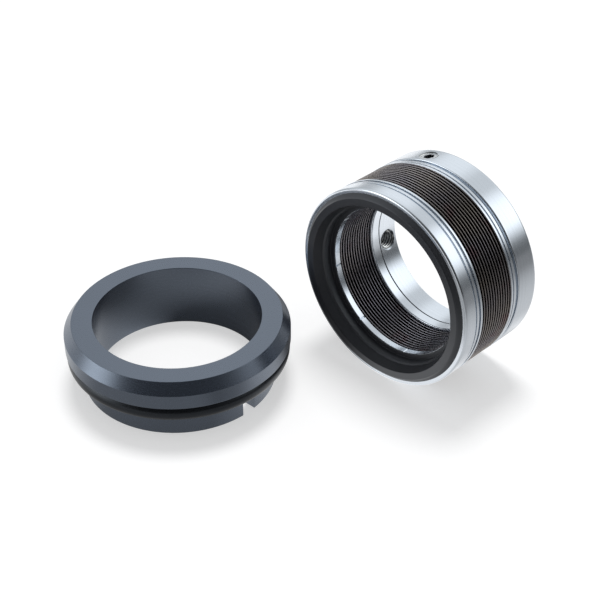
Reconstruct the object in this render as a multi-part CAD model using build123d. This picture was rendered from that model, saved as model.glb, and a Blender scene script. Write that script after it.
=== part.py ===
"""Component mechanical seal with an edge-welded metal bellows, and its stationary seat.

Millimetres, +Z up. The rotating unit lies with its axis along Y: the sealing face looks towards -Y and the
drive collar is at the +Y end. The origin is on the shaft axis, in the plane of the set screws. The seat lies
flat beside the unit, on the same surface, with its lapped face upwards.
"""

from build123d import *
import os

# ---- rotating unit, common sizes
shaft_radius = 22.5  # the unit fits a 45 mm shaft
unit_wall = 9.0  # radial room between the shaft and the outside of the unit
unit_radius = shaft_radius + unit_wall  # outside of the collar, end rings and retainer

# ---- drive collar
collar_length = 7.8
collar_edge = 0.3  # chamfer on the outer corners
bore_lead_in = 0.4  # chamfer at the mouth of the bore
screw_to_collar_front = 3.6  # centre of the screws behind the collar's front
screw_radius = 2.9  # M6 set screw, over the thread with its play
screw_hole_play = 0.1  # radial room around the screw in its tapped hole
screw_hole_radius = screw_radius + screw_hole_play
screw_hole_countersink = 0.2
screw_length = 4.0
screw_recesses = (1.3, 0.4)  # outer end of each screw below the collar's surface
screw_socket_across = 3.0  # hexagon socket, across flats
screw_socket_depth = 2.2
screw_cup_radius = 1.6
screw_cup_depth = 0.7
screw_point_chamfer = 0.6
screw_angles = (13.7, 103.7)  # degrees from +Z towards -X, seen from the sealing face

# ---- edge-welded bellows
convolutions = 12
convolution_pitch = 1.105
diaphragm_thickness = 0.15
diaphragm_width = 8.0  # radial, from weld to weld
outer_weld_inset = 0.1  # outer welds below the unit's radius
inner_weld_depth = 0.7  # how far two diaphragms lie together at their bore
bellows_outer_radius = unit_radius - outer_weld_inset
bellows_inner_radius = bellows_outer_radius - diaphragm_width

# ---- end rings, one welded to each end of the bellows
weld_lip_length = 0.75
weld_groove_length = 0.6
weld_groove_depth = 1.0
ring_band_length = 0.95
ring_band_step = 0.15  # the middle band is this much below the unit's radius
seam_length = 0.65  # groove between the front end ring and the retainer
seam_depth = 0.8
neck_length = 1.1  # groove between the rear end ring and the collar
neck_depth = 1.2
front_ring_play = 0.2  # bore of the front end ring outside the diaphragms' bore
front_ring_bore = bellows_inner_radius + front_ring_play
rear_ring_mouth_radius = 1.2  # rounding of the rear end ring's bore, which leads the shaft in

# ---- shaft O-ring, held between the rear end ring and the collar
shaft_ring_section = 1.8
shaft_ring_clear = 0.05  # inside of the fitted ring outside the shaft's surface
shaft_ring_side_play = 0.1  # on each side of the ring in its gland
shaft_ring_back_play = 0.1  # between the ring and the gland's floor
gland_mouth = 0.7  # from the collar's front to the rear end ring's lip, at the bore
gland_flank_depth = 0.4  # depth at which the gland's sloping flanks end
gland_to_collar = 0.55  # centre of the gland in front of the collar
gland_length = shaft_ring_section + 2 * shaft_ring_side_play
gland_flank_radius = shaft_radius + gland_flank_depth
gland_floor_radius = shaft_radius + shaft_ring_clear + shaft_ring_section + shaft_ring_back_play

# ---- retainer and face ring
retainer_length = 4.35
retainer_wall = 1.4
retainer_edge_radius = 1.25
face_ring_length = 5.6
face_shoulder_width = 1.2  # from the retainer's inside to the raised nose
face_land_width = 2.2  # radial width of the lapped nose
face_taper_width = 1.0  # how much the bore narrows behind the nose
face_throat_depth = 3.1
face_step_width = 0.5  # last narrowing of the bore
face_step_length = 0.4
face_tail_length = 1.0  # the ring's tail in the counterbore of the front end ring
face_tail_wall = 3.0
face_tail_play = 0.1  # between the tail and the counterbore
face_seat_radius = unit_radius - retainer_wall
face_outer_radius = face_seat_radius - face_shoulder_width
face_inner_radius = face_outer_radius - face_land_width
face_throat_radius = face_inner_radius - face_taper_width
face_bore_radius = face_throat_radius - face_step_width
face_tail_radius = face_bore_radius + face_tail_wall
tail_seat_radius = face_tail_radius + face_tail_play

# ---- stationary seat
seat_clearance = 2.7  # between the shaft and the seat's bore
seat_face_width = 6.2  # radial width of the lapped nose
seat_height = 20.8
seat_band_wall = 8.6  # from the bore to the locating band
seat_band_top = 17.4
seat_band_bottom = 12.8
seat_back_wall = 4.0  # from the bore to the outside of the back
seat_back_height = 6.3
seat_groove_depth = 1.0  # O-ring groove below the outside of the back
seat_edge = 0.3
seat_ring_section = 5.3
seat_ring_play = 0.1  # between the O-ring and the shoulder above it
pin_slot_width = 4.8
pin_slot_height = 4.7
pin_slot_angle = 2.3  # degrees from +X
seat_bore_radius = shaft_radius + seat_clearance
seat_face_radius = seat_bore_radius + seat_face_width
seat_band_radius = seat_bore_radius + seat_band_wall
seat_back_radius = seat_bore_radius + seat_back_wall
seat_groove_radius = seat_back_radius - seat_groove_depth

# ---- how the two halves of the set lie
seat_aside = 44.1  # seat centre to the shaft axis, towards -X
seat_gap = 6.1  # from the sealing face to the seat's band
seat_ahead = seat_gap + seat_band_radius

# ---- stations along the shaft axis
collar_front = -screw_to_collar_front
collar_back = collar_front + collar_length
rear_ring_length = weld_lip_length + weld_groove_length + ring_band_length + neck_length
rear_ring_front = collar_front - rear_ring_length
bellows_front = rear_ring_front - convolutions * convolution_pitch
front_ring_length = weld_lip_length + weld_groove_length + ring_band_length + seam_length
front_ring_front = bellows_front - front_ring_length
retainer_front = front_ring_front - retainer_length
face_front = front_ring_front - face_ring_length
tail_back = front_ring_front + face_tail_length
gland_centre = collar_front - gland_to_collar
gland_front = gland_centre - gland_length / 2
gland_back = gland_centre + gland_length / 2
floor_level = -unit_radius


def turned(outline, rounded=None, radius=0.0):
    """A ring turned about the shaft axis from (radius, station) points, with one corner rounded if asked."""
    section = make_face(Polyline(*outline, close=True))
    if rounded:
        corner = section.vertices().sort_by_distance(Vector(*rounded))[0]
        section = fillet(corner, radius)
    return revolve(section, Axis.Y)


def o_ring(section, inner_radius):
    """An O-ring about Z, centred on the origin."""
    return Torus(inner_radius + section / 2, section / 2)


def screw_frame(angle):
    """A frame on the shaft axis whose Z points outwards along the set screw at this angle."""
    return Location((0, 0, 0), (0, -angle, 0))


def drive_collar():
    """The thick ring that the set screws pull onto the shaft, with the back of the O-ring's gland."""
    body = turned(
        [
            (shaft_radius, collar_front),
            (gland_flank_radius, gland_back),
            (gland_floor_radius, gland_back),
            (gland_floor_radius, collar_front),
            (unit_radius - collar_edge, collar_front),
            (unit_radius, collar_front + collar_edge),
            (unit_radius, collar_back - collar_edge),
            (unit_radius - collar_edge, collar_back),
            (shaft_radius + bore_lead_in, collar_back),
            (shaft_radius, collar_back - bore_lead_in),
        ]
    )
    hole = Cylinder(screw_hole_radius, unit_radius, align=(Align.CENTER, Align.CENTER, Align.MIN))
    mouth = screw_hole_radius + screw_hole_countersink
    sink = Cone(screw_hole_radius - screw_hole_countersink, mouth, 2 * screw_hole_countersink)
    hole += Pos(0, 0, unit_radius - screw_hole_countersink) * sink
    for angle in screw_angles:
        body -= screw_frame(angle) * hole
    return body


def set_screw(angle, recess):
    """A set screw with a hexagon socket and a cup point, backed out of the bore."""
    outer_end = unit_radius - recess
    inner_end = outer_end - screw_length
    point = screw_radius - screw_point_chamfer
    section = make_face(
        Polyline(
            (0, inner_end + screw_cup_depth),
            (screw_cup_radius, inner_end),
            (point, inner_end),
            (screw_radius, inner_end + screw_point_chamfer),
            (screw_radius, outer_end),
            (0, outer_end),
            close=True,
        )
    )
    screw = Rot(90, 0, 0) * revolve(section, Axis.Y)
    socket = extrude(RegularPolygon(screw_socket_across / 2, 6, major_radius=False), screw_socket_depth)
    screw -= Pos(0, 0, outer_end - screw_socket_depth) * socket
    return screw_frame(angle) * screw


def rear_end_ring():
    """The fitting between the bellows and the collar, with the front of the O-ring's gland."""
    lip_end = rear_ring_front + weld_lip_length
    groove_end = lip_end + weld_groove_length
    band_end = groove_end + ring_band_length
    return turned(
        [
            (shaft_radius, rear_ring_front),
            (unit_radius, rear_ring_front),
            (unit_radius, lip_end),
            (unit_radius - weld_groove_depth, lip_end),
            (unit_radius - weld_groove_depth, groove_end),
            (unit_radius - ring_band_step, groove_end),
            (unit_radius - ring_band_step, band_end),
            (unit_radius - neck_depth, band_end),
            (unit_radius - neck_depth, collar_front),
            (gland_floor_radius, collar_front),
            (gland_floor_radius, gland_front),
            (gland_flank_radius, gland_front),
            (shaft_radius, collar_front - gland_mouth),
        ],
        rounded=(shaft_radius, rear_ring_front),
        radius=rear_ring_mouth_radius,
    )


def front_end_ring():
    """The fitting between the bellows and the retainer, counterbored for the face ring's tail."""
    lip_end = bellows_front - weld_lip_length
    groove_end = lip_end - weld_groove_length
    band_end = groove_end - ring_band_length
    return turned(
        [
            (front_ring_bore, bellows_front),
            (unit_radius, bellows_front),
            (unit_radius, lip_end),
            (unit_radius - weld_groove_depth, lip_end),
            (unit_radius - weld_groove_depth, groove_end),
            (unit_radius - ring_band_step, groove_end),
            (unit_radius - ring_band_step, band_end),
            (unit_radius - seam_depth, band_end),
            (unit_radius - seam_depth, front_ring_front),
            (tail_seat_radius, front_ring_front),
            (tail_seat_radius, tail_back),
            (front_ring_bore, tail_back),
        ]
    )


def bellows_convolution(number):
    """Two dished diaphragms welded together at their bore, open outwards."""
    front = bellows_front + (number - 1) * convolution_pitch
    back = front + convolution_pitch
    middle = (front + back) / 2
    return turned(
        [
            (bellows_inner_radius, middle - diaphragm_thickness),
            (bellows_outer_radius, front),
            (bellows_outer_radius, front + diaphragm_thickness),
            (bellows_inner_radius + inner_weld_depth, middle),
            (bellows_outer_radius, back - diaphragm_thickness),
            (bellows_outer_radius, back),
            (bellows_inner_radius, middle + diaphragm_thickness),
        ]
    )


def face_retainer():
    """The steel sleeve that the face ring is shrunk into."""
    return turned(
        [
            (face_seat_radius, front_ring_front),
            (face_seat_radius, retainer_front),
            (unit_radius, retainer_front),
            (unit_radius, front_ring_front),
        ],
        rounded=(unit_radius, retainer_front),
        radius=min(retainer_edge_radius, 0.9 * retainer_wall),
    )


def face_ring():
    """The carbon sealing ring, with a raised lapped nose, a stepped throat and a tail at its back."""
    throat_end = face_front + face_throat_depth
    return turned(
        [
            (face_inner_radius, face_front),
            (face_outer_radius, face_front),
            (face_seat_radius, retainer_front),
            (face_seat_radius, front_ring_front),
            (face_tail_radius, front_ring_front),
            (face_tail_radius, tail_back),
            (face_bore_radius, tail_back),
            (face_bore_radius, throat_end + face_step_length),
            (face_throat_radius, throat_end),
        ]
    )


def seat_place():
    """Where the seat lies: its axis upright, on the surface under the unit."""
    return Pos(-seat_aside, face_front - seat_ahead, floor_level)


def seat():
    """The stationary ring: lapped nose, locating band, O-ring step and anti-rotation slot."""
    section = make_face(
        Plane.XZ
        * Polyline(
            (seat_bore_radius, seat_edge),
            (seat_bore_radius + seat_edge, 0),
            (seat_back_radius - seat_edge, 0),
            (seat_back_radius, seat_edge),
            (seat_back_radius, seat_back_height),
            (seat_groove_radius, seat_back_height),
            (seat_groove_radius, seat_band_bottom),
            (seat_band_radius, seat_band_bottom),
            (seat_band_radius, seat_band_top),
            (seat_face_radius, seat_height),
            (seat_bore_radius, seat_height),
            close=True,
        )
    )
    body = revolve(section, Axis.Z)
    reach = seat_back_radius + seat_edge
    slot = Box(reach, pin_slot_width, pin_slot_height, align=(Align.MIN, Align.CENTER, Align.MIN))
    body -= Rot(0, 0, pin_slot_angle) * slot
    return seat_place() * body


def seat_o_ring():
    """The O-ring in the step of the seat, against the shoulder."""
    height = seat_band_bottom - seat_ring_play - seat_ring_section / 2
    return seat_place() * Pos(0, 0, height) * o_ring(seat_ring_section, seat_groove_radius)


def shaft_o_ring():
    """The O-ring that seals the unit on the shaft, at its fitted size."""
    ring = o_ring(shaft_ring_section, shaft_radius + shaft_ring_clear)
    return Pos(0, gland_centre, 0) * Rot(90, 0, 0) * ring


def pieces():
    """Every piece of the set by name."""
    made = {
        "seat": seat(),
        "seat_o_ring": seat_o_ring(),
        "face_ring": face_ring(),
        "face_retainer": face_retainer(),
        "front_end_ring": front_end_ring(),
        "rear_end_ring": rear_end_ring(),
        "shaft_o_ring": shaft_o_ring(),
        "drive_collar": drive_collar(),
    }
    for number in range(1, convolutions + 1):
        made[f"bellows_convolution_{number:02d}"] = bellows_convolution(number)
    for number, (angle, recess) in enumerate(zip(screw_angles, screw_recesses), start=1):
        made[f"set_screw_{number}"] = set_screw(angle, recess)
    return made


os.makedirs("parts", exist_ok=True)
for name, shape in pieces().items():
    export_step(shape, f"parts/{name}.step")
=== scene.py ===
"""Looks of the metal bellows seal and its seat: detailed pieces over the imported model, light and camera."""

import math

import bmesh
import bpy
import numpy as np
from mathutils import Matrix, Vector


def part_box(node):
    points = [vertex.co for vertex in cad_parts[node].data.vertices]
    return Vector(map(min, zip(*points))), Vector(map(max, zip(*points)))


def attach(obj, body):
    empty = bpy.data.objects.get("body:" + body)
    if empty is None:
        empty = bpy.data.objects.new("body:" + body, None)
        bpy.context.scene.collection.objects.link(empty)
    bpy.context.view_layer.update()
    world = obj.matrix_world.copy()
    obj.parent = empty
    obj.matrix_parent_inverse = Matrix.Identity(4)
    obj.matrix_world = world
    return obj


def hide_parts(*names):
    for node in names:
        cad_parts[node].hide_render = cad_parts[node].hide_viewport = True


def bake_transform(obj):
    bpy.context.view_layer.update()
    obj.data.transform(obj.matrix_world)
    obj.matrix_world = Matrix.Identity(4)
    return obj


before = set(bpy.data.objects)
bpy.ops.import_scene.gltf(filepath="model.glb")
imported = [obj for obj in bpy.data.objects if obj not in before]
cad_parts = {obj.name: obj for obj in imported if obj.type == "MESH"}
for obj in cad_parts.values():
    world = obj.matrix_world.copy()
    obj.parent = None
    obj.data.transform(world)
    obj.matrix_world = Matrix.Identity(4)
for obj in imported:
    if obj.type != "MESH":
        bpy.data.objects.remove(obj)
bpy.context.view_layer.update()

MM = 0.001  # the outlines below are written in millimetres
TAU = 2 * math.pi
SET = "set"
HEAD = "head"


def cosine(angle):
    return math.cos(math.radians(angle))


def sine(angle):
    return math.sin(math.radians(angle))


def station(node, axis, side):
    """A coordinate of a CAD node's box, in millimetres: side 0 is the lowest corner and 1 the highest."""
    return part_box(node)[side][axis] / MM


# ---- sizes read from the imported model
collar_front = station("drive_collar", 1, 0)
collar_back = station("drive_collar", 1, 1)
unit_radius = station("drive_collar", 2, 1)
rear_ring_front = station("rear_end_ring", 1, 0)
bellows_front = station("front_end_ring", 1, 1)
front_ring_front = station("front_end_ring", 1, 0)
retainer_front = station("face_retainer", 1, 0)
face_front = station("face_ring", 1, 0)
tail_back = station("face_ring", 1, 1)
face_seat_radius = station("face_ring", 2, 1)
bellows_outer_radius = station("bellows_convolution_01", 2, 1)
floor_level = station("seat", 2, 0)
seat_top = station("seat", 2, 1)
seat_band_radius = (station("seat", 0, 1) - station("seat", 0, 0)) / 2
seat_x = (station("seat", 0, 1) + station("seat", 0, 0)) / 2
seat_y = (station("seat", 1, 1) + station("seat", 1, 0)) / 2
seat_ring_low = station("seat_o_ring", 2, 0)
seat_ring_high = station("seat_o_ring", 2, 1)
seat_ring_outer = (station("seat_o_ring", 0, 1) - station("seat_o_ring", 0, 0)) / 2
shaft_ring_outer = station("shaft_o_ring", 2, 1)
shaft_ring_centre = (station("shaft_o_ring", 1, 1) + station("shaft_o_ring", 1, 0)) / 2

# ---- sizes shared with the part's source
shaft_radius = 22.5
bore_lead_in = 0.4
diaphragm_width = 8.0
diaphragm_thickness = 0.15
convolutions = 12
weld_lip_length = 0.75
weld_groove_length = 0.6
weld_groove_depth = 1.0
ring_band_length = 0.95
ring_band_step = 0.15
seam_depth = 0.8
neck_depth = 1.2
front_ring_play = 0.2
gland_length = 2.0
gland_depth = 1.95
face_shoulder_width = 1.2
face_land_width = 2.2
face_taper_width = 1.0
face_step_width = 0.5
face_throat_depth = 3.1
face_step_length = 0.4
face_tail_wall = 3.0
face_tail_play = 0.1
retainer_edge_radius = 1.25
seat_bore_radius = 25.2
seat_face_radius = 31.4
seat_back_radius = 29.2
seat_groove_radius = 28.2
seat_band_bottom = 12.8
seat_band_top = 17.4
seat_back_height = 6.3
pin_slot_width = 4.8
pin_slot_height = 4.7
pin_slot_angle = 2.3
screw_angles = (13.7, 103.7)
screw_recesses = (1.3, 0.4)
screw_length = 4.0
screw_radius = 2.9
screw_hole_radius = 3.0
screw_socket_across = 3.0
screw_socket_depth = 2.2
screw_cup_radius = 1.6
screw_cup_depth = 0.7
screw_point_chamfer = 0.6
bellows_inner_radius = bellows_outer_radius - diaphragm_width
front_ring_bore = bellows_inner_radius + front_ring_play
gland_floor_radius = shaft_radius + gland_depth
gland_front = shaft_ring_centre - gland_length / 2
gland_back = shaft_ring_centre + gland_length / 2
face_outer_radius = face_seat_radius - face_shoulder_width
face_inner_radius = face_outer_radius - face_land_width
face_throat_radius = face_inner_radius - face_taper_width
face_bore_radius = face_throat_radius - face_step_width
face_tail_radius = face_bore_radius + face_tail_wall
tail_seat_radius = face_tail_radius + face_tail_play

# ---- details that only this file draws
thread_pitch = 1.0
thread_flank = math.radians(30)
hole_thread_depth = 0.5
hole_thread_root = 0.15
hole_thread_first = 19  # turns from the shaft axis to the thread's start
hole_thread_turns = 16
hole_lead_in = 0.15
screw_thread_depth = 0.48
screw_thread_crest = 0.12
screw_thread_first = 22
screw_thread_turns = 13
screw_end_chamfer = 0.3
screw_top_recess = 0.35  # outer end of both screws below the collar's surface; the solids' lie deeper
screw_socket_cone = 0.5
outer_bead_radius = 0.2
inner_bead_radius = 0.17
bead_crest = 0.82  # share of a bead's radius that is left where it is flattened
ripples = 3
ripple_height = 0.22
stake_marks = 8
stake_mark_angle = -13  # of the first mark, from +Z towards +X
stake_mark_width = 0.45
stake_mark_depth = 0.3
rear_ring_mouth_radius = 0.4
mouth_front = collar_front - 0.15  # the gland's mouth lies between these two lips
mouth_back = collar_front + 0.2
gland_lip_radius = shaft_radius + 0.3
shaft_ring_play = 0.05  # between the lips and the ring
tail_lip_radius = front_ring_bore + 0.1
tail_lip_length = 0.35
# radii of the rounded corners that differ from the rest of their outline, by the corner's number in it
seat_corners = {0: 0.3, 1: 0.35, 5: 0.25, 6: 0.2, 7: 0.15, 8: 0.1}
collar_corners = {5: 0.3, 6: 0.35}

# ---- the photograph's view
camera_azimuth = 44.58
camera_elevation = 35.51
camera_distance = 444.4
camera_target = (-44.16, -16.64)
camera_lens = 81.18

# ---- how finely the pieces are drawn
RING_STEPS = 256
BELLOWS_STEPS = 192
BEAD_STEPS = 10
FINE_CORNER = 0.5  # corners with a larger radius get four times the steps


# ======== outlines and meshes


def arc_corner(before, corner, after, radius, steps):
    """Points of a round corner between two straight runs of an outline, with a guide point on each run."""
    a, b, c = (np.array(p, float) for p in (before, corner, after))
    u, v = a - b, c - b
    lu, lv = np.linalg.norm(u), np.linalg.norm(v)
    u, v = u / lu, v / lv
    turn = math.acos(float(np.clip(u @ v, -1, 1)))
    if radius <= 0 or turn < 1e-3 or math.pi - turn < 1e-3:
        return [tuple(b)]
    reach = radius / math.tan(turn / 2)
    limit = 0.45 * min(lu, lv)  # less than half, so that two corners of one run stay apart
    if reach > limit:
        reach = limit
        radius = reach * math.tan(turn / 2)
    middle = (u + v) / np.linalg.norm(u + v)
    centre = b + middle * radius / math.sin(turn / 2)
    start, end = b + u * reach - centre, b + v * reach - centre
    sweep = math.atan2(start[0] * end[1] - start[1] * end[0], start @ end)
    found = []
    if lu > 4 * reach:
        found.append(tuple(b + u * reach * 2))
    for i in range(steps + 1):
        t = sweep * i / steps
        across = start[0] * math.cos(t) - start[1] * math.sin(t)
        along = start[0] * math.sin(t) + start[1] * math.cos(t)
        found.append((centre[0] + across, centre[1] + along))
    if lv > 4 * reach:
        found.append(tuple(b + v * reach * 2))
    return found


def softened(outline, radius=0.12, steps=3, special=None):
    """A closed outline with its corners rounded; special gives some corners, by number, their own radius."""
    special = special or {}
    found = []
    count = len(outline)
    for i in range(count):
        own = special.get(i, radius)
        fine = steps if own <= FINE_CORNER else 4 * steps
        found += arc_corner(outline[i - 1], outline[i], outline[(i + 1) % count], own, fine)
    return found


def lathe_mesh(name, outlines, steps):
    """A mesh of closed (radius, station) outlines turned about the Y axis, in metres."""
    points, faces = [], []
    for outline in outlines:
        outline = [(r * MM, s * MM) for r, s in outline]
        area = sum(a[0] * b[1] - b[0] * a[1] for a, b in zip(outline, outline[1:] + outline[:1]))
        if area < 0:
            outline = outline[::-1]
        count, base = len(outline), len(points)
        for k in range(steps):
            t = TAU * k / steps
            points += [(r * math.sin(t), s, r * math.cos(t)) for r, s in outline]
        for k in range(steps):
            here, there = base + k * count, base + (k + 1) % steps * count
            for i in range(count):
                j = (i + 1) % count
                faces.append((here + i, there + i, there + j, here + j))
    mesh = bpy.data.meshes.new(name)
    mesh.from_pydata(points, [], faces)
    mesh.validate()
    return mesh


def outward(mesh):
    """Faces of a closed mesh turned to look outwards."""
    work = bmesh.new()
    work.from_mesh(mesh)
    bmesh.ops.recalc_face_normals(work, faces=work.faces)
    work.to_mesh(mesh)
    work.free()


def add_object(name, mesh, material, smooth_angle=35):
    """An object of this mesh, smooth shaded up to an angle, with its material."""
    outward(mesh)
    mesh.polygons.foreach_set("use_smooth", [True] * len(mesh.polygons))
    mesh.set_sharp_from_angle(angle=math.radians(smooth_angle))
    mesh.materials.clear()
    mesh.materials.append(material)
    obj = bpy.data.objects.new(name, mesh)
    bpy.context.scene.collection.objects.link(obj)
    return obj


def carved(mesh, cutter, operation="DIFFERENCE"):
    """The mesh less the cutter, or the room they share; neither of the two is kept."""
    objects = [bpy.data.objects.new(part.name, part) for part in (mesh, cutter)]
    for obj in objects:
        bpy.context.scene.collection.objects.link(obj)
    modifier = objects[0].modifiers.new("carve", "BOOLEAN")
    modifier.operation = operation
    modifier.solver = "EXACT"
    modifier.object = objects[1]
    bpy.context.view_layer.update()
    graph = bpy.context.evaluated_depsgraph_get()
    result = bpy.data.meshes.new_from_object(objects[0].evaluated_get(graph))
    for obj in objects:
        bpy.data.objects.remove(obj)
    return result


def joined(name, mesh, matrices):
    """Copies of a mesh at each of the matrices, as one mesh."""
    work = bmesh.new()
    for matrix in matrices:
        copy = mesh.copy()
        copy.transform(matrix)
        work.from_mesh(copy)
        bpy.data.meshes.remove(copy)
    result = bpy.data.meshes.new(name)
    work.to_mesh(result)
    work.free()
    return result


def block_mesh(name, x, y, z):
    """A box round the origin with these sides in millimetres, in metres."""
    mesh = bpy.data.meshes.new(name)
    work = bmesh.new()
    bmesh.ops.create_cube(work, size=1.0)
    work.to_mesh(mesh)
    work.free()
    mesh.transform(Matrix.Diagonal((x * MM, y * MM, z * MM, 1)))
    return mesh


def post_mesh(name, outline, steps=64):
    """A closed solid round Z from (radius, height) points in millimetres, flat at both ends, in metres."""
    count = len(outline)
    points = [
        (r * MM * math.cos(TAU * k / steps), r * MM * math.sin(TAU * k / steps), z * MM)
        for r, z in outline
        for k in range(steps)
    ]
    faces = [
        (i * steps + k, i * steps + (k + 1) % steps, (i + 1) * steps + (k + 1) % steps, (i + 1) * steps + k)
        for i in range(count - 1)
        for k in range(steps)
    ]
    faces.append(tuple(range(steps))[::-1])
    faces.append(tuple(range((count - 1) * steps, count * steps)))
    mesh = bpy.data.meshes.new(name)
    mesh.from_pydata(points, [], faces)
    return mesh


def thread_mesh(name, radius, depth, crest, first_turn, turns, steps=48):
    """A closed bar round Z with a thread of this outer radius, depth and crest width, in metres.

    The thread is one long strip of four rows to a turn, so the end of a turn joins four rows further on.
    Threads that start at whole turns fit into each other.
    """
    flank = depth * math.tan(thread_flank)
    shape = [
        (radius - depth, -crest / 2 - flank),
        (radius, -crest / 2),
        (radius, crest / 2),
        (radius - depth, crest / 2 + flank),
    ]
    last = len(shape) * turns

    def place(k, row):
        turn, corner = divmod(row, len(shape))
        r, rise = shape[corner]
        t = TAU * k / steps
        z = (first_turn + turn + k / steps) * thread_pitch + rise
        return (r * MM * math.cos(t), r * MM * math.sin(t), z * MM)

    def number(k, row):
        if k == steps:
            k, row = 0, row + len(shape)
        return row * steps + k if row <= last else (last + 1) * steps + row - last - 1

    points = [place(k, row) for row in range(last + 1) for k in range(steps)]
    points += [place(0, row) for row in range(last + 1, last + len(shape) + 1)]
    faces = [
        (number(k, row), number(k + 1, row), number(k + 1, row + 1), number(k, row + 1))
        for row in range(last)
        for k in range(steps)
    ]
    for row in (0, last):
        rim = [number(k, row) for k in range(steps + 1)]
        rim += [number(0, row + corner) for corner in reversed(range(1, len(shape)))]
        middle = len(points)
        points.append((0, 0, place(steps // 2, row)[2]))
        faces += [(middle, a, b) for a, b in zip(rim, rim[1:] + rim[:1])]
    mesh = bpy.data.meshes.new(name)
    mesh.from_pydata(points, [], faces)
    outward(mesh)
    return mesh


# ======== materials


class Nodes:
    """A short way to write a material's nodes."""

    def __init__(self, name):
        self.material = bpy.data.materials.new(name)
        self.material.use_nodes = True
        self.tree = self.material.node_tree
        self.tree.nodes.clear()
        self.output = self.add("ShaderNodeOutputMaterial")

    def add(self, kind, **values):
        node = self.tree.nodes.new(kind)
        for key, value in values.items():
            setattr(node, key, value)
        return node

    def link(self, source, target):
        self.tree.links.new(source, target)

    def put(self, socket, value):
        if isinstance(value, bpy.types.NodeSocket):
            self.link(value, socket)
        else:
            socket.default_value = value

    def math(self, operation, a, b=0.0):
        node = self.add("ShaderNodeMath", operation=operation)
        self.put(node.inputs[0], a)
        self.put(node.inputs[1], b)
        return node.outputs[0]

    def noise(self, vector, scale, detail=3.0):
        """Cloudy values round a half; scale is the number of cells to the metre."""
        node = self.add("ShaderNodeTexNoise")
        self.put(node.inputs["Vector"], vector)
        node.inputs["Scale"].default_value = scale
        node.inputs["Detail"].default_value = detail
        node.inputs["Roughness"].default_value = 0.5
        return node.outputs["Fac"]

    def spread(self, value, low, high, to_low, to_high):
        """The value's run from low to high laid on the run from to_low to to_high, and held at its ends."""
        node = self.add("ShaderNodeMapRange", clamp=True)
        self.put(node.inputs["Value"], value)
        for key, number in zip(("From Min", "From Max", "To Min", "To Max"), (low, high, to_low, to_high)):
            node.inputs[key].default_value = number
        return node.outputs["Result"]

    def mix(self, factor, a, b):
        node = self.add("ShaderNodeMix", data_type="RGBA")
        self.put(node.inputs[0], factor)
        self.put(node.inputs[6], a)
        self.put(node.inputs[7], b)
        return node.outputs[2]

    def tones(self, value, low, high, first, second):
        """The first colour where the value is low or less, the second where it is high or more."""
        share = self.spread(value, low, high, 0.0, 1.0)
        return self.mix(share, [*first, 1], [*second, 1])

    def coordinates(self):
        return self.add("ShaderNodeTexCoord").outputs["Object"]

    def dot(self, a, b):
        node = self.add("ShaderNodeVectorMath", operation="DOT_PRODUCT")
        self.put(node.inputs[0], a)
        self.put(node.inputs[1], b)
        return node.outputs["Value"]

    def split(self, vector):
        node = self.add("ShaderNodeSeparateXYZ")
        self.put(node.inputs[0], vector)
        return node.outputs

    def join(self, x, y, z):
        node = self.add("ShaderNodeCombineXYZ")
        for socket, value in zip(node.inputs, (x, y, z)):
            self.put(socket, value)
        return node.outputs[0]

    def bump(self, height, strength, distance):
        node = self.add("ShaderNodeBump")
        node.inputs["Strength"].default_value = strength
        node.inputs["Distance"].default_value = distance
        self.put(node.inputs["Height"], height)
        return node.outputs["Normal"]

    def shader(self, **values):
        """The material's surface, from sockets named with _ for each space."""
        node = self.add("ShaderNodeBsdfPrincipled")
        for key, value in values.items():
            self.put(node.inputs[key.replace("_", " ")], value)
        self.link(node.outputs[0], self.output.inputs["Surface"])


def turned_coordinates(nodes, axis):
    """Coordinates that are the same all round an axis: the distance from it and the station along it."""
    x, y, z = nodes.split(nodes.coordinates())
    if axis == "Y":
        across, along = (x, z), y
    else:
        across, along = (x, y), z
    squares = [nodes.math("MULTIPLY", side, side) for side in across]
    return nodes.join(nodes.math("SQRT", nodes.math("ADD", *squares)), along, 0.0)


def near_screws(nodes, reach, low, high):
    """1 within reach of a set screw's axis and from low to high along it, and 0 elsewhere."""
    place = nodes.coordinates()
    squared = nodes.dot(place, place)
    found = 0.0
    for angle in screw_angles:
        along = nodes.dot(place, (-sine(angle), 0.0, cosine(angle)))
        gap = nodes.math("SUBTRACT", squared, nodes.math("MULTIPLY", along, along))
        inside = nodes.math("LESS_THAN", gap, (reach * MM) ** 2)
        inside = nodes.math("MULTIPLY", inside, nodes.math("GREATER_THAN", along, low * MM))
        inside = nodes.math("MULTIPLY", inside, nodes.math("LESS_THAN", along, high * MM))
        found = nodes.math("MAXIMUM", found, inside)
    return found


def painted_shade_in_holes(nodes, tone, rough):
    """The steel's tone and roughness, duller in the tapped holes, with painted shade in their threads'
    grooves against lighter crests.
    """
    # painted shade: the dark groove tone stands for the shade in the threads' grooves
    groove_shade_tone, crest_tone = (0.28, 0.29, 0.29, 1), (0.95, 0.96, 0.95, 1)
    walls = near_screws(nodes, screw_hole_radius + 0.05, shaft_radius + 0.05, unit_radius - 0.1)
    crests = near_screws(nodes, screw_hole_radius - 0.55 * hole_thread_depth, 0, unit_radius)
    rough = nodes.math("MAXIMUM", rough, nodes.math("MULTIPLY", walls, 0.3))
    return nodes.mix(walls, tone, nodes.mix(crests, groove_shade_tone, crest_tone)), rough


def painted_shade_in_sockets(nodes, tone, rough):
    """The screws' tone and roughness, with painted shade inside their sockets."""
    top = unit_radius - screw_top_recess
    inside = near_screws(nodes, 0.6 * screw_socket_across, top - screw_socket_depth - 0.1, top - 0.35)
    # painted shade: a dark tone inside the hexagon sockets
    return nodes.mix(inside, tone, (0.11, 0.12, 0.14, 1)), rough


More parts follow.
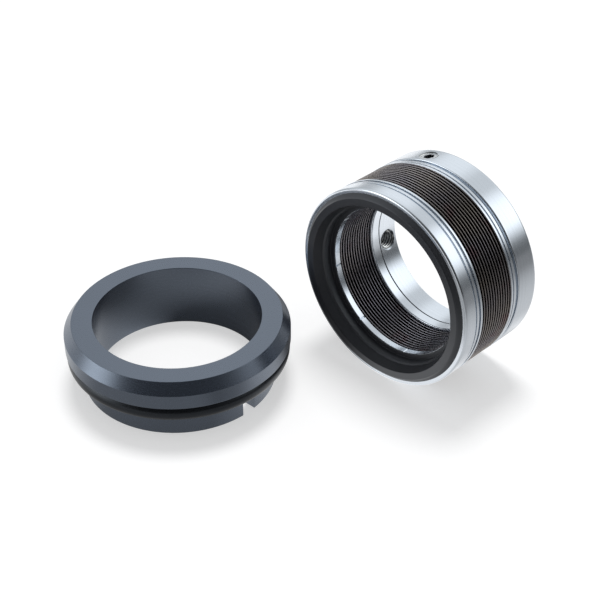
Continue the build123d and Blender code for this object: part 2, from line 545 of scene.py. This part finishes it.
def steel_material(name, colour, roughness, anisotropy, inside):
    """Turned and polished steel: fine rings round the shaft axis in its tone, roughness and relief."""
    nodes = Nodes(name)
    rings = turned_coordinates(nodes, "Y")
    fine = nodes.noise(rings, 7000, 2.0)
    broad = nodes.noise(rings, 800, 2.0)
    patches = nodes.noise(nodes.coordinates(), 55)
    worn = nodes.math("ADD", nodes.math("MULTIPLY", fine, 0.4), nodes.math("MULTIPLY", patches, 0.6))
    rough = nodes.spread(worn, 0.35, 0.65, roughness * 0.85, roughness * 1.2)
    tone = nodes.tones(broad, 0.35, 0.65, [c * 0.95 for c in colour], colour)
    # painted shade in the holes' thread grooves or in the screws' sockets, from the function given as inside
    tone, rough = inside(nodes, tone, rough)
    tangent = nodes.add("ShaderNodeTangent", direction_type="RADIAL", axis="Y")
    nodes.shader(
        Base_Color=tone,
        Metallic=1.0,
        Roughness=rough,
        Anisotropic=anisotropy,
        Anisotropic_Rotation=0.25,
        Tangent=tangent.outputs[0],
        Normal=nodes.bump(fine, 0.05, 0.00001),
    )
    return nodes.material


def ceramic_material(name):
    """Sintered silicon carbide: dark blue-grey, dense, ground to a satin surface."""
    nodes = Nodes(name)
    place = nodes.coordinates()
    cloud = nodes.noise(place, 90, 4.0)
    grain = nodes.noise(place, 4000, 2.0)
    ground = nodes.noise(turned_coordinates(nodes, "Z"), 5000, 2.0)
    rough = nodes.math("ADD", grain, ground)
    nodes.shader(
        Base_Color=nodes.tones(cloud, 0.3, 0.7, (0.011, 0.0145, 0.023), (0.014, 0.018, 0.029)),
        Roughness=nodes.spread(rough, 0.7, 1.3, 0.26, 0.31),
        IOR=2.5,
        Specular_Tint=(0.72, 0.83, 1.0, 1),
        Normal=nodes.bump(rough, 0.02, 0.00002),
    )
    return nodes.material


def carbon_material(name):
    """Resin-filled carbon graphite: soft black, lapped smooth on its nose and turned elsewhere."""
    nodes = Nodes(name)
    place = nodes.coordinates()
    grain = nodes.noise(place, 5000)
    rings = nodes.noise(turned_coordinates(nodes, "Y"), 5000, 2.0)
    lapped = nodes.spread(rings, 0.3, 0.7, 0.28, 0.36)
    along = nodes.split(place)[1]
    turned = nodes.spread(along, (face_front + 0.05) * MM, (face_front + 0.4) * MM, 0.0, 0.2)
    nodes.shader(
        Base_Color=nodes.tones(grain, 0.35, 0.7, (0.010, 0.0105, 0.0135), (0.015, 0.0155, 0.019)),
        Roughness=nodes.math("ADD", lapped, turned),
        IOR=1.75,
        Specular_Tint=(0.9, 0.94, 1.0, 1),
        Normal=nodes.bump(nodes.math("ADD", grain, rings), 0.05, 0.00002),
    )
    return nodes.material


def elastomer_material(name):
    """Moulded black fluorocarbon rubber."""
    nodes = Nodes(name)
    place = nodes.coordinates()
    skin = nodes.noise(place, 2500)
    bloom = nodes.noise(place, 120)
    nodes.shader(
        Base_Color=nodes.tones(bloom, 0.35, 0.7, (0.004, 0.0045, 0.006), (0.007, 0.008, 0.0105)),
        Roughness=nodes.spread(skin, 0.3, 0.7, 0.26, 0.36),
        IOR=1.5,
        Specular_Tint=(0.82, 0.9, 1.0, 1),
        Normal=nodes.bump(skin, 0.05, 0.00003),
    )
    return nodes.material


def bellows_material(name):
    """Thin nickel-alloy sheet: plates with a near-black tone that is painted shade of the deep gaps between
    them, tan weld beads at both edges, heat tints in patches.
    """
    nodes = Nodes(name)
    radius = nodes.split(turned_coordinates(nodes, "Y"))[0]
    place = nodes.coordinates()
    outer, inner = bellows_outer_radius, bellows_inner_radius
    at_outer = nodes.spread(radius, (outer - 0.5) * MM, (outer - 0.3) * MM, 0.0, 1.0)
    at_inner = nodes.spread(radius, (inner + 0.25) * MM, (inner + 0.45) * MM, 1.0, 0.0)
    tint = nodes.noise(place, 70, 4.0)
    heat = nodes.spread(nodes.noise(place, 150), 0.58, 0.72, 0.0, 0.45)
    beads = nodes.noise(place, 2600, 2.0)
    # painted shade: the plates' near-black tone stands for the shade in the deep, narrow gaps between the
    # diaphragms
    plate_shade_tone = nodes.tones(tint, 0.35, 0.65, (0.052, 0.046, 0.043), (0.045, 0.043, 0.052))
    outer_weld = nodes.tones(tint, 0.35, 0.65, (0.27, 0.24, 0.21), (0.235, 0.22, 0.24))
    inner_weld = nodes.tones(tint, 0.35, 0.65, (0.35, 0.325, 0.33), (0.30, 0.29, 0.335))
    tone = nodes.mix(at_inner, nodes.mix(at_outer, plate_shade_tone, outer_weld), inner_weld)
    nodes.shader(
        Base_Color=nodes.mix(heat, tone, (0.22, 0.10, 0.10, 1)),
        Metallic=1.0,
        Roughness=nodes.spread(beads, 0.3, 0.7, 0.24, 0.34),
        Normal=nodes.bump(beads, 0.05, 0.00003),
    )
    return nodes.material


polished_steel = steel_material("polished_steel", (0.70, 0.745, 0.80), 0.2, 0.5, painted_shade_in_holes)
screw_steel = steel_material("screw_steel", (0.78, 0.80, 0.83), 0.3, 0.0, painted_shade_in_sockets)
silicon_carbide = ceramic_material("silicon_carbide")
carbon = carbon_material("carbon")
elastomer = elastomer_material("elastomer")
bellows_alloy = bellows_material("bellows_alloy")


# ======== pieces


def finish_piece(obj, body, node):
    """The piece rides on a body and stands for this node, whose imported part it hides."""
    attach(obj, body)
    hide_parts(node)


def build_ring(name, outline, material, body, node):
    """A ring turned from one outline, as a finished piece."""
    ring = add_object(name, lathe_mesh(name, [outline], RING_STEPS), material)
    finish_piece(ring, body, node)


def place_seat(obj):
    """Puts a ring turned about Y upright, at the seat's place."""
    obj.data.transform(Matrix.Rotation(math.radians(90), 4, "X"))
    obj.location = (seat_x * MM, seat_y * MM, floor_level * MM)


def build_seat():
    """The stationary seat, with the slot for its pin."""
    top = seat_top - floor_level
    outline = softened(
        [
            (seat_bore_radius, 0),
            (seat_back_radius, 0),
            (seat_back_radius, seat_back_height),
            (seat_groove_radius, seat_back_height),
            (seat_groove_radius, seat_band_bottom),
            (seat_band_radius, seat_band_bottom),
            (seat_band_radius, seat_band_top),
            (seat_face_radius, top),
            (seat_bore_radius, top),
        ],
        special=seat_corners,
    )
    reach = seat_back_radius + 2
    block = block_mesh("slot", reach, 2 * pin_slot_height, pin_slot_width)
    block.transform(Matrix.Translation((reach / 2 * MM, 0, 0)))
    block.transform(Matrix.Rotation(math.radians(pin_slot_angle), 4, "Y"))
    mesh = carved(lathe_mesh("seat_body", [outline], RING_STEPS), block)
    seat = add_object("seat_body", mesh, silicon_carbide)
    place_seat(seat)
    finish_piece(seat, SET, "seat")


def ring_section(middle, centre, radius, steps=40, crest=1.0):
    """A round outline, for an O-ring or a weld bead; crest is the share of the radius left at its edges."""
    found = []
    for i in range(steps):
        t = TAU * i / steps
        out = min(max(math.cos(t), -crest), crest)
        found.append((middle + radius * out, centre + radius * math.sin(t)))
    return found


def build_o_rings():
    """The seat's O-ring, and the one on the shaft, which the gland's lips leave thinner than the solid."""
    section = seat_ring_high - seat_ring_low
    middle = seat_ring_outer - section / 2
    centre = (seat_ring_low + seat_ring_high) / 2 - floor_level
    outline = ring_section(middle, centre, section / 2)
    ring = add_object("seat_ring", lathe_mesh("seat_ring", [outline], RING_STEPS), elastomer)
    place_seat(ring)
    finish_piece(ring, SET, "seat_o_ring")
    section = shaft_ring_outer - gland_lip_radius - shaft_ring_play
    outline = ring_section(shaft_ring_outer - section / 2, shaft_ring_centre, section / 2, 24)
    build_ring("shaft_ring", outline, elastomer, SET, "shaft_o_ring")


def build_face_ring():
    """The carbon ring, with a lip at its tail that covers the step behind it."""
    throat_end = face_front + face_throat_depth
    outline = softened(
        [
            (face_inner_radius, face_front),
            (face_outer_radius, face_front),
            (face_seat_radius, retainer_front),
            (face_seat_radius, front_ring_front),
            (face_tail_radius, front_ring_front),
            (face_tail_radius, tail_back),
            (tail_lip_radius, tail_back),
            (tail_lip_radius, tail_back - tail_lip_length),
            (face_bore_radius, tail_back - tail_lip_length),
            (face_bore_radius, throat_end + face_step_length),
            (face_throat_radius, throat_end),
        ],
        radius=0.1,
    )
    build_ring("carbon_face", outline, carbon, HEAD, "face_ring")


def build_retainer():
    """The steel sleeve round the carbon ring."""
    outline = softened(
        [
            (face_seat_radius, front_ring_front),
            (face_seat_radius, retainer_front),
            (unit_radius, retainer_front),
            (unit_radius, front_ring_front),
        ],
        radius=0.08,
        special={2: retainer_edge_radius},
    )
    build_ring("retainer_sleeve", outline, polished_steel, HEAD, "face_retainer")


def stake_cutter():
    """The small marks, struck at equal steps across the front ring's bore."""
    length = bellows_front - tail_back
    block = block_mesh("stake_mark", stake_mark_width, 2 * length, 2 * stake_mark_depth)
    block.transform(Matrix.Rotation(math.radians(45), 4, "Y"))
    block.transform(Matrix.Translation((0, (bellows_front + tail_back) / 2 * MM, front_ring_bore * MM)))
    turns = [math.radians(stake_mark_angle) + TAU * i / stake_marks for i in range(stake_marks)]
    return joined("stake_marks", block, [Matrix.Rotation(turn, 4, "Y") for turn in turns])


def ring_outside(start, way, end, depth):
    """The outside of an end ring from the bellows on: weld lip, groove, band, and a neck of this depth."""
    lip_end = start + way * weld_lip_length
    groove_end = lip_end + way * weld_groove_length
    band_end = groove_end + way * ring_band_length
    return [
        (unit_radius, start),
        (unit_radius, lip_end),
        (unit_radius - weld_groove_depth, lip_end),
        (unit_radius - weld_groove_depth, groove_end),
        (unit_radius - ring_band_step, groove_end),
        (unit_radius - ring_band_step, band_end),
        (unit_radius - depth, band_end),
        (unit_radius - depth, end),
    ]


def build_front_ring():
    """The end ring that carries the retainer, with its stake marks."""
    outline = softened(
        [
            (front_ring_bore, bellows_front),
            *ring_outside(bellows_front, -1, front_ring_front, seam_depth),
            (tail_seat_radius, front_ring_front),
            (tail_seat_radius, tail_back),
            (front_ring_bore, tail_back),
        ],
        radius=0.07,
    )
    mesh = carved(lathe_mesh("front_fitting", [outline], RING_STEPS), stake_cutter())
    ring = add_object("front_fitting", mesh, polished_steel)
    finish_piece(ring, HEAD, "front_end_ring")


def build_rear_ring():
    """The end ring at the collar, with the front half of the shaft O-ring's gland."""
    outline = softened(
        [
            (shaft_radius, rear_ring_front),
            *ring_outside(rear_ring_front, 1, collar_front, neck_depth),
            (gland_floor_radius, collar_front),
            (gland_floor_radius, gland_front),
            (gland_lip_radius, gland_front),
            (gland_lip_radius, mouth_front),
            (shaft_radius, mouth_front),
        ],
        radius=0.07,
        special={0: rear_ring_mouth_radius},
    )
    build_ring("rear_fitting", outline, polished_steel, SET, "rear_end_ring")


def screw_matrix(angle):
    """A frame on the shaft axis whose Z points outwards along the set screw at this angle."""
    return Matrix.Rotation(math.radians(-angle), 4, "Y")


def build_collar():
    """The drive collar, with its tapped holes and the back half of the shaft O-ring's gland."""
    outline = softened(
        [
            (shaft_radius, mouth_back),
            (gland_lip_radius, mouth_back),
            (gland_lip_radius, gland_back),
            (gland_floor_radius, gland_back),
            (gland_floor_radius, collar_front),
            (unit_radius, collar_front),
            (unit_radius, collar_back),
            (shaft_radius + bore_lead_in, collar_back),
            (shaft_radius, collar_back - bore_lead_in),
        ],
        radius=0.06,
        special=collar_corners,
    )
    mesh = lathe_mesh("collar_body", [outline], 2 * RING_STEPS)
    holes = [screw_matrix(angle) for angle in screw_angles]
    thread = thread_mesh(
        "tapped_hole",
        screw_hole_radius,
        hole_thread_depth,
        hole_thread_root,
        hole_thread_first,
        hole_thread_turns,
    )
    mesh = carved(mesh, joined("tapped_holes", thread, holes))
    past = 1  # the cone goes on past both ends of the lead-in
    cone = post_mesh(
        "hole_lead_in",
        [
            (screw_hole_radius + hole_lead_in + past, shaft_radius - past),
            (screw_hole_radius - past, shaft_radius + hole_lead_in + past),
        ],
    )
    mesh = carved(mesh, joined("hole_lead_ins", cone, holes))
    collar = add_object("collar_body", mesh, polished_steel)
    finish_piece(collar, SET, "drive_collar")


def build_set_screw(number, angle):
    """A threaded set screw with a hexagon socket and a cup point."""
    name = f"socket_screw_{number}"
    outer_end = unit_radius - screw_top_recess
    inner_end = unit_radius - screw_recesses[number - 1] - screw_length
    thread = thread_mesh(
        name,
        screw_radius,
        screw_thread_depth,
        screw_thread_crest,
        screw_thread_first,
        screw_thread_turns,
    )
    tip = 0.1  # radius that is left of a cone's point
    past = 0.1  # the chamfers go on past the thread
    body = post_mesh(
        "screw_ends",
        [
            (tip, inner_end + screw_cup_depth),
            (screw_cup_radius, inner_end),
            (screw_radius - screw_point_chamfer, inner_end),
            (screw_radius + past, inner_end + screw_point_chamfer + past),
            (screw_radius + past, outer_end - screw_end_chamfer - past),
            (screw_radius - screw_end_chamfer, outer_end),
        ],
    )
    mesh = carved(thread, body, "INTERSECT")
    corner = screw_socket_across / 2 / math.cos(math.radians(30))
    bottom = outer_end - screw_socket_depth
    wall = bottom + screw_socket_cone
    socket = post_mesh("socket", [(tip, bottom), (corner, wall), (corner, outer_end + 1)], 6)
    mesh = carved(mesh, socket)
    mesh.transform(screw_matrix(angle))
    screw = add_object(name, mesh, screw_steel)
    finish_piece(screw, SET, f"set_screw_{number}")


def plate_line(start, end, steps=20):
    """The middle line of a rippled diaphragm from weld to weld, as (radius, station) points."""
    found = []
    for i in range(steps + 1):
        u = i / steps
        rise = math.sin(math.pi * u) ** 0.5 if 0 < u < 1 else 0.0
        found.append((
            start[0] + (end[0] - start[0]) * u,
            start[1] + (end[1] - start[1]) * u + ripple_height * rise * math.sin(TAU * ripples * u),
        ))
    return found


def bellows_outlines(number):
    """The outlines of one convolution: two rippled diaphragms, the weld at their bore and that in front.

    The last convolution has a weld behind it too.
    """
    node = f"bellows_convolution_{number:02d}"
    front, back = station(node, 1, 0), station(node, 1, 1)
    middle = (front + back) / 2
    half = diaphragm_thickness / 2
    inner, outer = bellows_inner_radius + inner_bead_radius, bellows_outer_radius - outer_bead_radius
    outlines = []
    for shift, end in ((-half, front + half), (half, back - half)):
        line = plate_line((inner, middle + shift), (outer, end))
        ahead = [(r, s - half) for r, s in line]
        behind = [(r, s + half) for r, s in reversed(line)]
        outlines.append(ahead + behind)
    beads = [(inner, middle, inner_bead_radius), (outer, front, outer_bead_radius)]
    if number == convolutions:
        beads.append((outer, back, outer_bead_radius))
    return outlines + [ring_section(*bead, BEAD_STEPS, bead_crest) for bead in beads]


def build_bellows():
    """The convolutions, each in place of its imported part."""
    for number in range(1, convolutions + 1):
        name = f"convolution_{number:02d}"
        mesh = lathe_mesh(name, bellows_outlines(number), BELLOWS_STEPS)
        piece = add_object(name, mesh, bellows_alloy, 60)
        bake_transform(piece)
        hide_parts(f"bellows_convolution_{number:02d}")


# ======== light, floor and camera


KEY_STRENGTH = 1.5
KEY_ANGLE = 20  # degrees across, which softens its shadow
KEY_DIRECTION = (-0.2, 0.22, 0.955)
SKY_STRENGTH = 0.5
SKY_TINT = (0.97, 0.98, 1.0, 1)
FLOOR_SIDE = 6.0  # metres
FLOOR_WHITE = (0.9, 0.9, 0.9, 1)
FLOOR_SEEN = (0.3, 1.6)  # share of the floor that glows to the camera, and how brightly
FLOOR_REFLECTED = 0.85  # share of it that glows to reflections
TENT_RADIUS = 2.0  # metres
TENT_TINT = (0.95, 0.98, 1.0, 1)
TENT_FOOT = (10, 24)  # degrees above the floor between which the tent's dark foot fades out
TENT_FOOT_SIDES = (-0.4, 0.5, 0.3, 0.8)  # from the first place across to the second, and how dark at each
TENT_CAMERA = (35, 75, 0.1)  # dark round the camera: full part and faded edge in degrees, share that is left

# how bright the tent's plain walls are, and its panels: direction, angle of the full part and of the faded
# edge in degrees, and brightness added to the walls
TENT_WALLS = 0.8
TENT_PANELS = (
    ((-0.5, 0.58, 0.64), 12, 23, 0.3),
    ((0.60, 0.58, 0.54), 14, 29, 0.85),
    ((-0.53, -0.79, 0.29), 10, 22, 2.9),
)

# how bright reflections see the floor: where each fade starts and ends along X, in metres, and the share
# before and after it
FLOOR_FADES = (
    (0.018, 0.036, 1.2, 0.68),
    (0.05, 0.16, 1.0, 0.25),
)

# what reflections see darker on the floor: centre and radius of the full part and of the faded edge in
# metres, and the share that is left
FLOOR_SHADES = (
    ((-0.052, -0.018), 0.038, 0.052, 0.1),
    ((-0.104, -0.006), 0.034, 0.046, 0.3),
    ((-0.050, -0.072), 0.015, 0.022, 0.64),
    ((-0.008, -0.128), 0.048, 0.078, 0.33),
    ((0.008, 0.008), 0.010, 0.019, 0.35),
    ((0.016, -0.076), 0.012, 0.022, 0.5),
)


def camera_direction():
    """From the set towards the camera."""
    azimuth, elevation = math.radians(camera_azimuth), math.radians(camera_elevation)
    return Vector((
        math.sin(azimuth) * math.cos(elevation),
        -math.cos(azimuth) * math.cos(elevation),
        math.sin(elevation),
    ))


def build_world(scene):
    """White to the camera and to reflections, and a soft even light on the set."""
    world = bpy.data.worlds.new("studio")
    scene.world = world
    world.use_nodes = True
    tree = world.node_tree
    tree.nodes.clear()
    output = tree.nodes.new("ShaderNodeOutputWorld")
    path = tree.nodes.new("ShaderNodeLightPath")
    seen = path.outputs["Is Camera Ray"]
    for ray in ("Is Glossy Ray", "Is Transmission Ray"):
        either = tree.nodes.new("ShaderNodeMath")
        either.operation = "MAXIMUM"
        tree.links.new(seen, either.inputs[0])
        tree.links.new(path.outputs[ray], either.inputs[1])
        seen = either.outputs[0]
    blend = tree.nodes.new("ShaderNodeMixShader")
    tree.links.new(seen, blend.inputs[0])
    for socket, colour, strength in ((1, SKY_TINT, SKY_STRENGTH), (2, (1, 1, 1, 1), 1.0)):
        background = tree.nodes.new("ShaderNodeBackground")
        background.inputs["Color"].default_value = colour
        background.inputs["Strength"].default_value = strength
        tree.links.new(background.outputs[0], blend.inputs[socket])
    tree.links.new(blend.outputs[0], output.inputs["Surface"])


def build_key(scene):
    """A soft overhead light from behind the set; the tent stands for it in reflections."""
    key = bpy.data.lights.new("key", "SUN")
    key.energy = KEY_STRENGTH
    key.angle = math.radians(KEY_ANGLE)
    obj = bpy.data.objects.new("key", key)
    obj.rotation_euler = Vector(KEY_DIRECTION).to_track_quat("Z", "Y").to_euler()
    obj.visible_glossy = False
    scene.collection.objects.link(obj)


def build_floor(scene):
    """A white surface that keeps the set's shadow; reflections see it darker to the right and in places."""
    half = FLOOR_SIDE / 2
    z = floor_level * MM
    mesh = bpy.data.meshes.new("floor")
    corners = [(-half, -half, z), (half, -half, z), (half, half, z), (-half, half, z)]
    mesh.from_pydata(corners, [], [(0, 1, 2, 3)])
    nodes = Nodes("floor")
    path = nodes.add("ShaderNodeLightPath")
    place = nodes.coordinates()
    x = nodes.split(place)[0]
    level = 1.0
    for fade in FLOOR_FADES:
        level = nodes.math("MULTIPLY", level, nodes.spread(x, *fade))
    for centre, full, none, left in FLOOR_SHADES:
        away = nodes.add("ShaderNodeVectorMath", operation="DISTANCE")
        nodes.link(place, away.inputs[0])
        away.inputs[1].default_value = (*centre, z)
        shade = nodes.spread(away.outputs["Value"], full, none, left, 1.0)
        level = nodes.math("MULTIPLY", level, shade)
    diffuse = nodes.add("ShaderNodeBsdfDiffuse")
    diffuse.inputs["Color"].default_value = FLOOR_WHITE
    surface = diffuse.outputs[0]
    glows = (("Is Camera Ray", *FLOOR_SEEN), ("Is Glossy Ray", FLOOR_REFLECTED, level))
    for ray, share, strength in glows:
        glow = nodes.add("ShaderNodeEmission")
        nodes.put(glow.inputs["Strength"], strength)
        both = nodes.add("ShaderNodeMixShader")
        nodes.link(nodes.math("MULTIPLY", path.outputs[ray], share), both.inputs[0])
        nodes.link(surface, both.inputs[1])
        nodes.link(glow.outputs[0], both.inputs[2])
        surface = both.outputs[0]
    nodes.link(surface, nodes.output.inputs["Surface"])
    mesh.materials.append(nodes.material)
    floor = bpy.data.objects.new("floor", mesh)
    scene.collection.objects.link(floor)


def build_tent(scene):
    """A tent that only reflections see: grey walls, bright panels, dark at its foot and round the camera."""
    mesh = bpy.data.meshes.new("tent")
    work = bmesh.new()
    bmesh.ops.create_icosphere(work, subdivisions=4, radius=TENT_RADIUS)
    work.to_mesh(mesh)
    work.free()
    nodes = Nodes("tent")
    unit = nodes.add("ShaderNodeVectorMath", operation="NORMALIZE")
    nodes.link(nodes.coordinates(), unit.inputs[0])
    direction = unit.outputs["Vector"]
    x, _, height = nodes.split(direction)
    level = TENT_WALLS
    for toward, full, none, gain in TENT_PANELS:
        share = nodes.dot(direction, Vector(toward).normalized())
        level = nodes.math("ADD", level, nodes.spread(share, cosine(none), cosine(full), 0.0, gain))
    foot = nodes.spread(height, sine(TENT_FOOT[0]), sine(TENT_FOOT[1]), 1.0, 0.0)
    lost = nodes.math("MULTIPLY", foot, nodes.spread(x, *TENT_FOOT_SIDES))
    level = nodes.math("MULTIPLY", level, nodes.math("SUBTRACT", 1.0, lost))
    facing = nodes.dot(direction, camera_direction())
    full, none, left = TENT_CAMERA
    level = nodes.math("MULTIPLY", level, nodes.spread(facing, cosine(none), cosine(full), 1.0, left))
    glow = nodes.add("ShaderNodeEmission")
    glow.inputs["Color"].default_value = TENT_TINT
    nodes.link(level, glow.inputs["Strength"])
    nodes.link(glow.outputs[0], nodes.output.inputs["Surface"])
    nodes.material.cycles.emission_sampling = "NONE"
    mesh.materials.append(nodes.material)
    tent = bpy.data.objects.new("tent", mesh)
    tent.visible_camera = False
    tent.visible_diffuse = False
    tent.visible_shadow = False
    tent.visible_transmission = False
    scene.collection.objects.link(tent)


def build_stage():
    scene = bpy.context.scene
    scene.view_settings.view_transform = "Standard"
    build_world(scene)
    build_key(scene)
    build_floor(scene)
    build_tent(scene)


def build_camera():
    """The camera that sees the set as the photograph does."""
    target = Vector((*camera_target, floor_level)) * MM
    away = camera_direction()
    data = bpy.data.cameras.new("camera")
    data.sensor_width = 36
    data.lens = camera_lens
    data.clip_start = 0.01
    data.clip_end = 20
    camera = bpy.data.objects.new("camera", data)
    camera.location = target + away * camera_distance * MM
    camera.rotation_euler = away.to_track_quat("Z", "Y").to_euler()
    bpy.context.scene.collection.objects.link(camera)
    bpy.context.scene.camera = camera


build_camera()
build_stage()
build_seat()
build_o_rings()
build_face_ring()
build_retainer()
build_front_ring()
build_rear_ring()
build_collar()
build_bellows()
for number, angle in enumerate(screw_angles, start=1):
    build_set_screw(number, angle)
